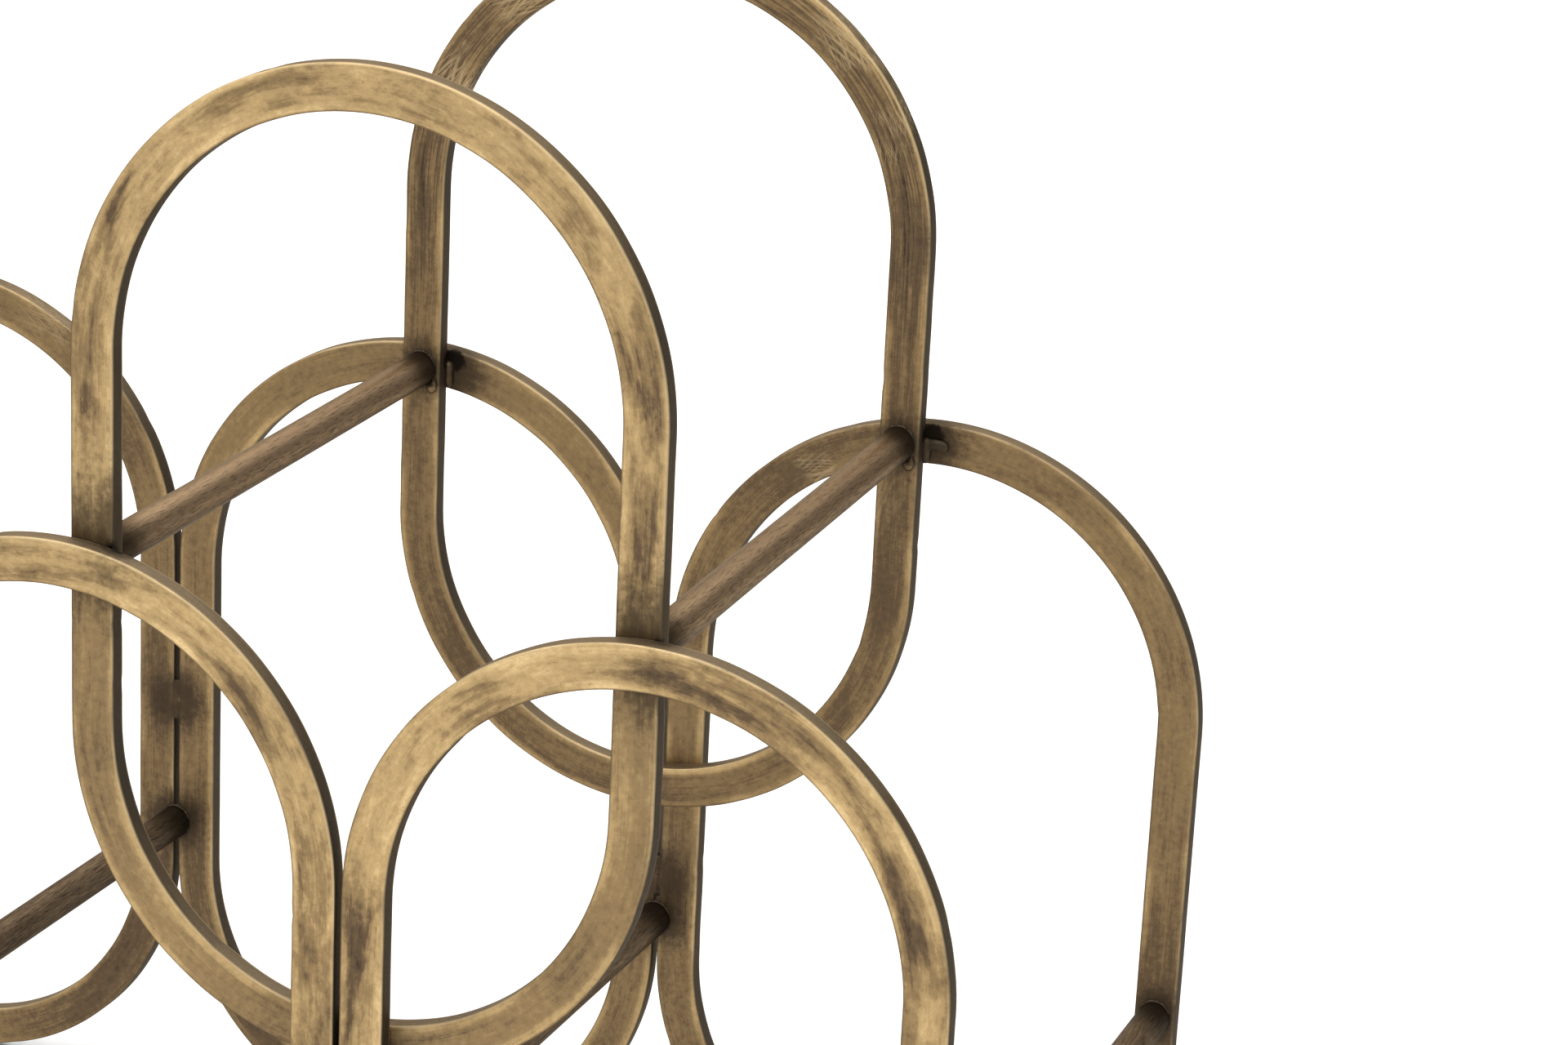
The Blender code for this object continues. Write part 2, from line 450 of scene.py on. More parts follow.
def stadium_path(low, high):
    """Stations along a ring's centre line: along, x, z and the outward direction."""
    outer = (high.x - low.x) / 2
    radius = outer - BAR_FACE / 2
    centre_x = (low.x + high.x) / 2
    top = high.z - outer
    bottom = low.z + outer
    rows = []
    for k in range(STRAIGHT_STEPS):
        rows.append((centre_x + radius, bottom + (top - bottom) * k / STRAIGHT_STEPS, 1.0, 0.0))
    for k in range(ARC_STEPS):
        angle = math.pi * k / ARC_STEPS
        rows.append((centre_x + radius * math.cos(angle), top + radius * math.sin(angle),
                     math.cos(angle), math.sin(angle)))
    for k in range(STRAIGHT_STEPS):
        rows.append((centre_x - radius, top - (top - bottom) * k / STRAIGHT_STEPS, -1.0, 0.0))
    for k in range(ARC_STEPS):
        angle = math.pi + math.pi * k / ARC_STEPS
        rows.append((centre_x + radius * math.cos(angle), bottom + radius * math.sin(angle),
                     math.cos(angle), math.sin(angle)))
    rows = np.array(rows)
    steps = np.linalg.norm(np.diff(rows[:, :2], axis=0, append=rows[:1, :2]), axis=1)
    along = np.concatenate(([0.0], np.cumsum(steps)[:-1]))
    return along, steps.sum(), rows


def edge_wear(turn, across, draw):
    """How far each edge has been filed back: a slow wander, with dings on one edge or the other."""
    worn_outer = 0.5 + 0.5 * waves(turn, draw, *EDGE_WAVES)
    worn_inner = 0.5 + 0.5 * waves(turn, draw, *EDGE_WAVES)
    worn = np.where(across > 0, worn_outer[:, None], worn_inner[:, None]) * EDGE_WANDER
    for _ in range(DINGS_PER_RING):
        place = draw.uniform(0, 2 * math.pi)
        width = draw.uniform(*DING_TURN)
        size = draw.uniform(*DING_SHARE) * DING_DEPTH
        hit = np.sign(draw.uniform(-1, 1))
        bump = size * np.exp(-(np.angle(np.exp(1j * (turn - place))) / width) ** 2)
        worn += np.where(np.sign(across) == hit, bump[:, None], 0)
    return worn


def store_ring_places(mesh, turn, along, length, across, depth, seed):
    """Where each point lies on the bar, straight and wound round a loop so that patterns join up."""
    loop_radius = length / (2 * math.pi)
    loop = np.stack([np.broadcast_to(np.cos(turn)[:, None] * loop_radius, across.shape),
                     np.broadcast_to(np.sin(turn)[:, None] * loop_radius, across.shape),
                     across], axis=-1)
    loop[..., 2] += seed * RING_NOISE_STEP
    place = np.stack([np.broadcast_to(along[:, None], across.shape), across, depth], axis=-1)
    store_vectors(mesh, "bar_loop", loop.reshape(-1, 3))
    store_vectors(mesh, "bar_place", place.reshape(-1, 3))


def make_ring(node, material, slot, seed):
    """A ring bent from flat bar, with hand-finished edges that are never quite even."""
    draw = random.Random(seed)
    low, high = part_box(node)
    along, length, rows = stadium_path(low, high)
    section = bar_section()
    turn = 2 * math.pi * along / length
    across = np.repeat(section[None, :, 0], len(rows), axis=0)
    depth = np.repeat(section[None, :, 1], len(rows), axis=0)

    worn = edge_wear(turn, across, draw)
    corner = np.clip((np.abs(across) - BAR_FACE / 2 + 2 * EDGE_ON_FACE) / (2 * EDGE_ON_FACE), 0, 1)
    moved = across - np.sign(across) * worn * corner
    thin = depth * (1 - 0.5 * worn * corner / BAR_DEPTH)
    points = np.stack([rows[:, None, 0] + rows[:, None, 2] * moved,
                       (low.y + high.y) / 2 + thin,
                       rows[:, None, 1] + rows[:, None, 3] * moved], axis=-1)

    mesh = grid_mesh(node, points, closed_along=True)
    store_ring_places(mesh, turn, along, length, across, depth, seed)
    # Weld heating and soot, with a black painted shade in the notches above the crossings; toner, with
    # painted shade on the back rings, low down and behind the lower rings.
    store_numbers(mesh, "scorch_and_shade", scorch_and_shade_at(node, points.reshape(-1, 3)))
    store_numbers(mesh, "toner_and_shade", toner_and_shade_at(node, points.reshape(-1, 3)))
    # Which way each edge faces, for the painted highlight on edges facing up and right, and which way each
    # side faces, for painted light on the sides that face up.
    facing = rows[:, None, 2] * HIGHLIGHT_RIGHT + rows[:, None, 3] * HIGHLIGHT_UP
    store_numbers(mesh, "light_facing", facing * np.sign(across))
    store_numbers(mesh, "upward", rows[:, None, 3] * np.sign(across))
    return make_piece(f"{node}_bar", mesh, material, slot, node)


# ---------------------------------------------------------------- rods and welds

def make_rod(node, front, back, material, slot, seed):
    """A drawn round rod, run into the welds at both ends."""
    draw = random.Random(seed)
    axis = (back - front).normalized()
    start = front - axis * ROD_BURY
    end = back + axis * ROD_BURY
    angles = np.arange(ROD_SIDES) * 2 * math.pi / ROD_SIDES
    t = np.linspace(0, 1, ROD_STEPS + 1)
    centre = np.array(start)[None] + t[:, None] * np.array(end - start)[None]
    drawn = 1 - ROD_UNEVEN * (0.5 + 0.5 * waves(angles, draw, *ROD_WAVES))
    radius = ROD_RADIUS * np.repeat(drawn[None], len(t), axis=0)
    points = np.stack([centre[:, None, 0] + radius * np.cos(angles),
                       np.repeat(centre[:, 1:2], ROD_SIDES, axis=1),
                       centre[:, None, 2] + radius * np.sin(angles)], axis=-1)
    mesh = grid_mesh(node, points, closed_along=False)
    flat = points.reshape(-1, 3)
    # The ends darken from weld heating and painted shade where the rod runs into the bar.
    ends = np.minimum(np.abs(flat[:, 1] - front.y), np.abs(flat[:, 1] - back.y))
    store_numbers(mesh, "scorch_and_shade", np.exp(-(ends / ROD_END_HEAT_AND_SHADE_REACH) ** 2))
    # Painted shade on the underside of the rod.
    store_numbers(mesh, "under", np.tile(0.5 - 0.5 * np.sin(angles), len(t)))
    # Lower rods are painted darker as shade, upper rods lighter, each with a random spread of tone.
    darker = ROD_ROW_SHADE["low" if node.startswith("lower") else "high"] + draw.uniform(0, ROD_TONE_SPREAD)
    store_numbers(mesh, "toner_and_shade", np.full(len(flat), darker))
    return make_piece(f"{node}_bar", mesh, material, slot, node)


def melted_mesh(name, lumps):
    """One closed bead melted together from ellipsoids, each given as (centre, radii, turn)."""
    raw = bpy.data.meshes.new(name + "_raw")
    bm = bmesh.new()
    for centre, radii, turn in lumps:
        turned = Euler(turn).to_matrix().to_4x4()
        place = Matrix.Translation(centre) @ turned @ Matrix.Diagonal((*radii, 1))
        bmesh.ops.create_icosphere(bm, subdivisions=LUMP_SUBDIVISIONS, radius=1.0, matrix=place)
    bm.to_mesh(raw)
    bm.free()
    holder = bpy.data.objects.new(name + "_raw", raw)
    bpy.context.scene.collection.objects.link(holder)
    remesh = holder.modifiers.new("remesh", "REMESH")
    remesh.mode = "VOXEL"
    remesh.voxel_size = BEAD_VOXEL
    smooth = holder.modifiers.new("smooth", "SMOOTH")
    smooth.iterations = BEAD_SMOOTHING
    smooth.factor = 0.5
    graph = bpy.context.evaluated_depsgraph_get()
    mesh = bpy.data.meshes.new_from_object(holder.evaluated_get(graph))
    mesh.name = name
    bpy.data.objects.remove(holder)
    bpy.data.meshes.remove(raw)
    return mesh


def finish_bead(node, mesh, crown, material, slot):
    """A bead with its crown, 0 at its toes and 1 on top, for the material's wear."""
    store_numbers(mesh, "crown", np.clip(crown, 0, 1))
    return make_piece(f"{node}_bead", mesh, material, slot, node)


def make_rod_weld(node, end, side, material, slot, seed):
    """The collar of weld around a rod's end: small puddles in a ring, heavier underneath."""
    draw = random.Random(seed)
    face_y = end.y + side * WELD_GAP
    lumps = []
    for k in range(COLLAR_LUMPS):
        angle = 2 * math.pi * (k + draw.uniform(-COLLAR_JITTER, COLLAR_JITTER)) / COLLAR_LUMPS
        under = max(0.0, -math.sin(angle))
        size = COLLAR_LEG * draw.uniform(*LUMP_SPREAD) * (1 + COLLAR_SAG * under)
        reach = ROD_RADIUS + size * COLLAR_REACH
        wide = 1 - COLLAR_NARROWING * abs(math.cos(angle))
        centre = Vector((end.x + reach * wide * math.cos(angle), face_y - side * size * LUMP_SUNK,
                         end.z + reach * math.sin(angle)))
        lumps.append((centre, (size * wide, size * 0.9, size), (0, 0, 0)))
    if node.startswith("upper"):
        lean = draw.uniform(*DRIP_LEAN)
        below = ROD_RADIUS + draw.uniform(*DRIP_HANG)
        drop = Vector((end.x + below * math.sin(lean), face_y - side * BEAD_PROUD,
                       end.z - below * math.cos(lean)))
        lumps.append((drop, DRIP_RADII, (0, lean * 0.5, 0)))
    mesh = melted_mesh(node, lumps)
    points = mesh_points(mesh)
    out = (face_y - points[:, 1]) * side / COLLAR_LEG
    off = (np.hypot(points[:, 0] - end.x, points[:, 2] - end.z) - ROD_RADIUS) / COLLAR_LEG
    return finish_bead(node, mesh, np.minimum(out, off) * 0.5, material, slot)


def make_crossing_weld(node, side, material, slot, seed):
    """The uneven fillet between an upper side bar and the face of a lower ring's crown."""
    draw = random.Random(seed)
    low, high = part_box(node)
    middle = (low + high) / 2
    outward = math.copysign(1, middle.x - nearest_side_bar(middle))
    corner_x = (low.x if outward > 0 else high.x) - outward * WELD_GAP
    face_y = (low.y if side < 0 else high.y) + side * WELD_GAP
    lumps = []
    tailed = abs(middle.x) > UPPER_OUTER_BAR
    top = middle.z if tailed else high.z - NOTCH_DEPTH
    bottom = low.z + FILLET_FOOT
    for k in range(FILLET_LUMPS):
        z = bottom + (top - bottom) * k / (FILLET_LUMPS - 1)
        size = FILLET_SIZE * draw.uniform(*LUMP_SPREAD)
        place = Vector((corner_x + outward * size * LUMP_SUNK, face_y - side * size * LUMP_SUNK, z))
        lumps.append((place, (size, size, size), (0, 0, 0)))
    if tailed:
        for k in range(TAIL_LUMPS):
            size = TAIL_SIZE * draw.uniform(*TAIL_SPREAD)
            sag = TAIL_SAG * math.sin(TAIL_TURN * k)
            place = Vector((corner_x + outward * TAIL_STEP * k, face_y - side * BEAD_PROUD,
                            middle.z - TAIL_SAG + sag))
            lumps.append((place, (size, TAIL_THICKNESS, size), (0, 0, 0)))
    mesh = melted_mesh(node, lumps)
    points = mesh_points(mesh)
    out = (face_y - points[:, 1]) * side / CROWN_HEIGHT["tailed" if tailed else "plain"]
    return finish_bead(node, mesh, out, material, slot)


def make_seam_weld(node, material, slot, seed):
    """A tack that bridges the gap between two lower rings."""
    draw = random.Random(seed)
    low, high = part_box(node)
    middle = (low + high) / 2
    side = -1 if middle.y < 0 else 1
    ring_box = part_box(("back" if side > 0 else "front") + "_lower_ring_1")
    face_y = ring_box[0].y if side > 0 else ring_box[1].y
    lumps = []
    height = (high.z - low.z) * SEAM_STRETCH
    for k in range(SEAM_LUMPS):
        share = k / (SEAM_LUMPS - 1) - 0.5
        wide = (high.x - low.x) / 2 * draw.uniform(*SEAM_WIDE)
        inside = side * draw.uniform(*SEAM_INSIDE)
        place = Vector((middle.x, face_y + inside, middle.z + height * share))
        lumps.append((place, (wide, *SEAM_HEAD_RADII), (0, 0, 0)))
        deeper = place + Vector((0, side * SEAM_ROOT_DEPTH, 0))
        lumps.append((deeper, (wide * SEAM_ROOT_WIDE, *SEAM_ROOT_RADII), (0, 0, 0)))
    mesh = melted_mesh(node, lumps)
    points = mesh_points(mesh)
    crown = 0.9 - np.abs(points[:, 2] - middle.z) / height
    return finish_bead(node, mesh, crown, material, slot)


# ---------------------------------------------------------------- materials

class Shader:
    """Short names for building a node material."""

    def __init__(self, name):
        self.material = bpy.data.materials.new(name)
        self.material.use_nodes = True
        self.tree = self.material.node_tree
        self.nodes = self.tree.nodes
        self.surface = self.nodes["Principled BSDF"]

    def put(self, socket, value):
        if isinstance(value, bpy.types.NodeSocket):
            self.tree.links.new(value, socket)
        elif isinstance(value, (tuple, list)) and len(value) == 3 and socket.type == "RGBA":
            socket.default_value = (*value, 1.0)
        else:
            socket.default_value = value

    def attribute(self, name, output):
        node = self.nodes.new("ShaderNodeAttribute")
        node.attribute_name = name
        return node.outputs[output]

    def position(self):
        return self.nodes.new("ShaderNodeTexCoord").outputs["Object"]

    def maths(self, operation, a, b=0.0, clamp=False):
        node = self.nodes.new("ShaderNodeMath")
        node.operation = operation
        node.use_clamp = clamp
        self.put(node.inputs[0], a)
        self.put(node.inputs[1], b)
        return node.outputs[0]

    def split(self, vector):
        node = self.nodes.new("ShaderNodeSeparateXYZ")
        self.put(node.inputs[0], vector)
        return node.outputs

    def scaled(self, vector, scale):
        node = self.nodes.new("ShaderNodeMapping")
        self.put(node.inputs["Vector"], vector)
        node.inputs["Scale"].default_value = scale
        return node.outputs[0]

    def turned(self, vector, angle, scale):
        """Turns the vector about Z first, then scales it."""
        node = self.nodes.new("ShaderNodeMapping")
        node.vector_type = "TEXTURE"
        self.put(node.inputs["Vector"], vector)
        node.inputs["Rotation"].default_value = (0, 0, angle)
        node.inputs["Scale"].default_value = tuple(1 / k for k in scale)
        return node.outputs[0]

    def steps(self, value, stops):
        """A colour that runs through (position, colour) stops."""
        colour = stops[0][1]
        for (low, _), (high, following) in zip(stops, stops[1:]):
            colour = self.blend(self.ramp(value, low, high), colour, following)
        return colour

    def brightened(self, colour, amount):
        node = self.nodes.new("ShaderNodeVectorMath")
        node.operation = "SCALE"
        self.put(node.inputs[0], colour)
        self.put(node.inputs["Scale"], amount)
        return node.outputs[0]

    def noise(self, vector, scale=1.0, detail=3.0, roughness=0.5, distortion=0.0, w=None):
        node = self.nodes.new("ShaderNodeTexNoise")
        if w is not None:
            node.noise_dimensions = "4D"
            self.put(node.inputs["W"], w)
        self.put(node.inputs["Vector"], vector)
        node.inputs["Scale"].default_value = scale
        node.inputs["Detail"].default_value = detail
        node.inputs["Roughness"].default_value = roughness
        node.inputs["Distortion"].default_value = distortion
        return node.outputs[0]

    def ramp(self, value, low, high, to_low=0.0, to_high=1.0):
        node = self.nodes.new("ShaderNodeMapRange")
        node.interpolation_type = "SMOOTHSTEP"
        self.put(node.inputs["Value"], value)
        node.inputs["From Min"].default_value = low
        node.inputs["From Max"].default_value = high
        node.inputs["To Min"].default_value = to_low
        node.inputs["To Max"].default_value = to_high
        return node.outputs[0]

    def blend(self, amount, a, b):
        node = self.nodes.new("ShaderNodeMix")
        node.data_type = "RGBA"
        node.clamp_factor = True
        self.put(node.inputs[0], amount)
        self.put(node.inputs[6], a)
        self.put(node.inputs[7], b)
        return node.outputs[2]

    def bump(self, height, distance, strength):
        node = self.nodes.new("ShaderNodeBump")
        self.put(node.inputs["Height"], height)
        node.inputs["Distance"].default_value = distance
        node.inputs["Strength"].default_value = strength
        return node.outputs[0]

    def total(self, *terms):
        """The sum of (weight, value) terms."""
        result = None
        for weight, value in terms:
            part = self.maths("MULTIPLY", value, weight)
            result = part if result is None else self.maths("ADD", result, part)
        return result

    def metal(self, colour, roughness, metallic, normal):
        """Connects the finish; the coat and the edge tint are the same on every piece."""
        inputs = self.surface.inputs
        self.put(inputs["Base Color"], colour)
        self.put(inputs["Roughness"], roughness)
        self.put(inputs["Metallic"], metallic)
        self.put(inputs["Normal"], normal)
        self.put(inputs["Specular Tint"], EDGE_TINT)
        self.put(inputs["Coat Weight"], COAT)
        self.put(inputs["Coat Roughness"], COAT_ROUGHNESS)
        return self.material


def scratches(s, vector, angle, along, across):
    """Hair scratches at an angle to the bar: thin level lines of a stretched noise."""
    field = s.noise(s.turned(vector, angle, (along, across, across)), detail=0)
    offset = s.maths("ABSOLUTE", s.maths("SUBTRACT", field, 0.5))
    return s.ramp(offset, 0.05, 0.01)


def ring_places(s):
    """Where a point lies on its ring, how its bar has been heated, browned with toner and worn there, and
    where painted shade and painted light fall on it.
    """
    bar = s.attribute("bar_place", "Vector")
    _, across, depth = s.split(bar)
    u = s.maths("DIVIDE", s.maths("ABSOLUTE", across), BAR_FACE / 2)
    v = s.maths("DIVIDE", s.maths("ABSOLUTE", depth), BAR_DEPTH / 2)
    toner_and_shade = s.attribute("toner_and_shade", "Fac")
    crisp = s.ramp(toner_and_shade, 0.10, 0.28)
    height = s.split(s.position())[2]
    return SimpleNamespace(
        bar=bar,
        depth=depth,
        u=u,
        edge=s.maths("MULTIPLY", s.ramp(u, 0.86, 0.96), s.ramp(v, 0.60, 0.88)),
        flank=s.ramp(v, 0.97, 0.80),
        shoulder=s.ramp(u, 0.45, 0.85),
        centre=s.ramp(u, 0.92, 0.45),
        # Weld heating and soot with the notches' painted shade; toner with painted shade; and which way
        # edges and sides face, for the painted highlight on edges and painted light on sides.
        heat_and_shade=s.attribute("scorch_and_shade", "Fac"),
        light_facing=s.attribute("light_facing", "Fac"),
        upward=s.attribute("upward", "Fac"),
        toner_and_shade=toner_and_shade,
        crisp=crisp,
        height=height,
        arch=s.maths("MULTIPLY", crisp, s.ramp(height, 0.17, 0.23, 0.15, 1.0)),
    )


def ring_patterns(s, at):
    """The noises that every layer of a ring's finish shares."""
    loop = s.attribute("bar_loop", "Vector")
    place = s.position()
    deep = s.maths("MULTIPLY", at.depth, DEPTH_SHIFT)
    gently = s.maths("MULTIPLY", at.depth, CLOUD_DEPTH_SHIFT)
    return SimpleNamespace(
        streak=s.noise(s.scaled(loop, STREAK), detail=3, roughness=0.65, w=deep),
        hair=s.noise(s.scaled(loop, HAIR), detail=2, roughness=0.6, w=deep),
        brush=s.noise(s.scaled(loop, BRUSH), detail=2, roughness=0.6, w=deep),
        fleck=s.noise(s.scaled(loop, FLECK), detail=4, roughness=0.62, distortion=0.6, w=deep),
        cloud=s.noise(s.scaled(loop, CLOUD), detail=5, roughness=0.55, distortion=0.4, w=gently),
        rub=s.noise(s.scaled(loop, RUB), detail=2, roughness=0.5),
        drift=s.noise(place, scale=DRIFT, detail=1, roughness=0.5),
        speck=s.noise(place, scale=SPECK, detail=2, roughness=0.6),
        mottle=s.noise(place, scale=MOTTLE, detail=3, roughness=0.65),
        dust=s.noise(place, scale=DUST, detail=2, roughness=0.7),
    )


def ring_scratches(s, at):
    """Scratches in broken patches, mostly on the upper arcs of the back rings."""
    place = s.position()
    first, *others = [scratches(s, at.bar, *scratch) for scratch in SCRATCHES]
    lines = first
    for other in others:
        lines = s.maths("MAXIMUM", lines, other)
    broken = s.ramp(s.noise(place, scale=90.0, detail=2), 0.46, 0.60)
    higher = s.ramp(at.height, 0.19, 0.25, 0.0, 0.25)
    handled = s.maths("ADD", s.noise(place, scale=24.0, detail=1), higher)
    lines = s.maths("MULTIPLY", s.maths("MULTIPLY", lines, broken), s.ramp(handled, 0.64, 0.80))
    return s.maths("MULTIPLY", lines, at.crisp)


def ring_tone(s, at, pattern):
    """How dark the face is, from bright brass at 0 to umber above 1, with painted shade and a painted
    highlight mixed in.
    """
    band = s.maths("MULTIPLY", at.shoulder, s.ramp(pattern.rub, 0.44, 0.60))
    plain = s.maths("SUBTRACT", 1.0, s.maths("MULTIPLY", at.crisp, 0.75))
    blotch = s.maths("MULTIPLY", s.ramp(pattern.cloud, 0.50, 0.66), at.centre)
    clouded = s.total((1.4, s.maths("SUBTRACT", pattern.cloud, 0.5)), (0.24, blotch))
    patches = s.maths("MULTIPLY", clouded, plain)

    speckled = s.maths("SUBTRACT", s.total((0.45, pattern.mottle), (0.55, pattern.dust)), 0.5)
    flecked = s.maths("MULTIPLY", s.maths("SUBTRACT", pattern.fleck, 0.5),
                      s.ramp(at.crisp, 0.0, 1.0, 0.75, 0.25))
    fine = s.maths("ADD", flecked, s.maths("MULTIPLY", speckled, 0.80))

    combed = s.maths("MULTIPLY", s.maths("SUBTRACT", pattern.brush, 0.5), s.maths("ADD", at.arch, 0.05))
    calm = s.maths("SUBTRACT", at.crisp, at.arch)
    calmed = s.maths("MULTIPLY", calm,
                     s.maths("SUBTRACT", 0.12, s.maths("MULTIPLY", pattern.streak, 0.36)))
    brushed = s.total((0.5, pattern.drift), (0.65, pattern.streak), (0.45, pattern.hair),
                      (1.0, combed), (1.0, calmed), (-0.8, 1.0))

    # The toner and painted shade darken the face, less on rims facing up and right, which is a painted
    # highlight.
    rim = s.maths("MULTIPLY", s.ramp(at.u, 0.58, 0.90), s.ramp(at.light_facing, -0.3, 0.4, 0.45, 1.0))
    rim_highlight = s.maths("MULTIPLY", rim, s.ramp(at.toner_and_shade, 0.33, 0.46, 0.1, 1.0))
    toner_and_shade_kept = s.maths("MULTIPLY", at.toner_and_shade, s.total((1.05, 1.0), (-0.85, rim_highlight)))
    # Weld heating darkens the tone, and so does the notches' painted shade.
    tone = s.total((1.0, brushed), (1.0, fine), (1.0, patches), (-0.26, band), (0.22, at.heat_and_shade),
                   (1.0, toner_and_shade_kept))
    return s.maths("ADD", tone, TONE_BASE)


def ring_face_colour(s, at, pattern, tone):
    """The face coloured by its tone, blended into the darker sides with painted light on the sides that
    face up, and varied by the grain.
    """
    colour = s.steps(tone, BRASS_TONES)
    # Sides facing up are painted lighter, as lit from above.
    side_colour = s.blend(s.ramp(at.upward, 0.2, 0.95), FLANK, FLANK_LIT)
    colour = s.blend(s.maths("MULTIPLY", at.flank, 0.96), colour, side_colour)
    grain = s.total((0.35, pattern.streak), (0.5, pattern.hair), (0.65, pattern.dust))
    return s.brightened(colour, s.ramp(grain, 0.60, 0.90, 0.84, 1.15))


def ring_wear_and_highlight_colour(s, at, pattern, colour, lines):
    """Worn edges: bright in patches where they face up and right, as wear with a painted highlight, and
    brown where they face down and left.
    """
    wear = s.total((0.6, pattern.cloud), (0.6, pattern.streak), (0.25, at.toner_and_shade))
    # Bright wear in patches, kept to the edges facing up and right as a painted highlight; brown on the
    # edges facing down and left.
    wear_and_highlight = s.maths("MULTIPLY", at.edge, s.ramp(wear, 0.82, 0.54, 0.05, 0.62))
    wear_and_highlight = s.maths("MULTIPLY", wear_and_highlight, s.ramp(at.light_facing, 0.0, 0.6))
    down_left_edge_brown = s.maths("MULTIPLY", at.edge, s.ramp(at.light_facing, 0.1, -0.5, 0.0, 0.55))
    colour = s.blend(wear_and_highlight, colour, WORN_AND_HIGHLIGHT_GOLD)
    colour = s.blend(down_left_edge_brown, colour, BROWN)
    return s.blend(s.maths("MULTIPLY", lines, 0.45), colour, WORN_AND_HIGHLIGHT_GOLD)


def ring_burnt_colour(s, at, pattern, colour):
    """Pits, then scorched brown around the welds, soot close to them and a black painted shade in the
    corners above the crossing welds.
    """
    colour = s.blend(s.ramp(pattern.speck, 0.68, 0.76, 0.0, 0.5), colour, UMBER)
    # Scorched brown near the welds; the notches' painted shade adds to it.
    singe = s.maths("ADD", at.heat_and_shade, s.total((0.5, pattern.mottle), (-0.9, pattern.streak), (0.2, 1.0)))
    colour = s.blend(s.ramp(singe, 0.15, 0.75, 0.0, 0.80), colour, UMBER)
    # Black where the notches' painted shade lies, and soot close to the welds.
    soot_and_shade = s.maths("ADD", at.heat_and_shade, s.total((1.0, pattern.mottle), (-0.5, 1.0)))
    return s.blend(s.ramp(soot_and_shade, 1.0, 1.5), colour, SOOT_AND_SHADE)


def ring_brass(name):
    """Antique brass on flat bar: brushed along the bend, browned with toner and painted shade, worn bright
    at the edges, with a painted highlight on the edges that face up and right.
    """
    s = Shader(name)
    at = ring_places(s)
    pattern = ring_patterns(s, at)
    lines = ring_scratches(s, at)
    tone = ring_tone(s, at, pattern)
    colour = ring_face_colour(s, at, pattern, tone)
    colour = ring_wear_and_highlight_colour(s, at, pattern, colour, lines)
    colour = ring_burnt_colour(s, at, pattern, colour)
    rough = s.total((0.16, tone), (0.16, pattern.streak), (0.12, pattern.hair), (0.12, pattern.mottle),
                    (0.08, at.flank))
    metallic = s.maths("SUBTRACT", s.ramp(tone, 0.2, 1.1, 0.97, 0.85), s.maths("MULTIPLY", at.flank, 0.05))
    relief = s.total((0.4, pattern.streak), (0.4, pattern.hair), (0.4, pattern.mottle),
                     (0.5, pattern.dust), (-0.3, lines), (0.25, pattern.speck))
    return s.metal(colour, s.maths("ADD", rough, 0.26, clamp=True), metallic, s.bump(relief, RELIEF, 0.75))


def rod_colour(s, tone, grain, under, heat_and_shade):
    """Tan to dark brown by tone, pitted by the grain, with painted shade underneath, and soot with painted
    shade at the ends.
    """
    colour = s.blend(s.ramp(tone, 0.62, 1.06), ROD_TAN, ROD_BROWN)
    colour = s.blend(s.ramp(tone, 1.00, 1.25), colour, ROD_DARK)
    colour = s.blend(s.ramp(grain, 0.50, 0.72, 0.0, 0.4), colour, ROD_PIT)
    # Painted shade on the underside.
    colour = s.blend(s.ramp(under, 0.40, 0.90, 0.0, 0.68), colour, UMBER)
    # Soot and painted shade at the ends, where the rod runs into the bar.
    return s.blend(s.ramp(heat_and_shade, 0.05, 0.95, 0.0, 0.88), colour, SOOT_AND_SHADE)


def rod_brass(name):
    """Drawn rod, browner and darker than the rings, with a fine grain along its length; its tone holds
    painted shade underneath and on the lower rods.
    """
    s = Shader(name)
    place = s.position()
    heat_and_shade = s.attribute("scorch_and_shade", "Fac")
    under = s.attribute("under", "Fac")
    toner_and_shade = s.attribute("toner_and_shade", "Fac")
    grain = s.noise(s.scaled(place, ROD_GRAIN), detail=2, roughness=0.6)
    line = s.noise(s.scaled(place, ROD_LINE), detail=2, roughness=0.6)
    cloud = s.noise(s.scaled(place, ROD_CLOUD), detail=2, roughness=0.6)
    speck = s.noise(place, scale=SPECK, detail=2, roughness=0.6)
    # The tone includes painted shade: the lower rods' row shade and the underside.
    tone = s.total((0.18, cloud), (0.5, line), (0.6, grain), (0.15, speck), (1.0, toner_and_shade), (0.30, under),
                   (0.085, 1.0))
    brown = s.ramp(tone, 0.62, 1.06)
    rough = s.total((0.14, brown), (0.12, grain), (0.1, line), (0.15, heat_and_shade))
    relief = s.total((0.7, grain), (0.4, line), (0.3, speck))
    return s.metal(rod_colour(s, tone, grain, under, heat_and_shade), s.maths("ADD", rough, 0.30, clamp=True),
                   s.ramp(brown, 0.0, 1.0, 0.97, 0.88), s.bump(relief, RELIEF, 0.8))


def weld_brass(name):
    """Weld metal: soot at the toes, brown on the flanks and worn to brass on the crown."""
    s = Shader(name)
    place = s.position()
    crown = s.attribute("crown", "Fac")
    lump = s.noise(place, scale=BEAD_LUMP, detail=3, roughness=0.6)
    fine = s.noise(place, scale=SPECK, detail=3, roughness=0.6)
    level = s.total((0.7, crown), (0.8, lump), (0.3, fine))
    relief = s.total((0.8, lump), (0.5, fine))
    return s.metal(s.steps(level, BEAD_TONES), s.ramp(level, 0.5, 1.5, 0.55, 0.32),
                   s.ramp(level, 0.4, 1.2, 0.6, 1.0), s.bump(relief, BEAD_RELIEF, 0.8))


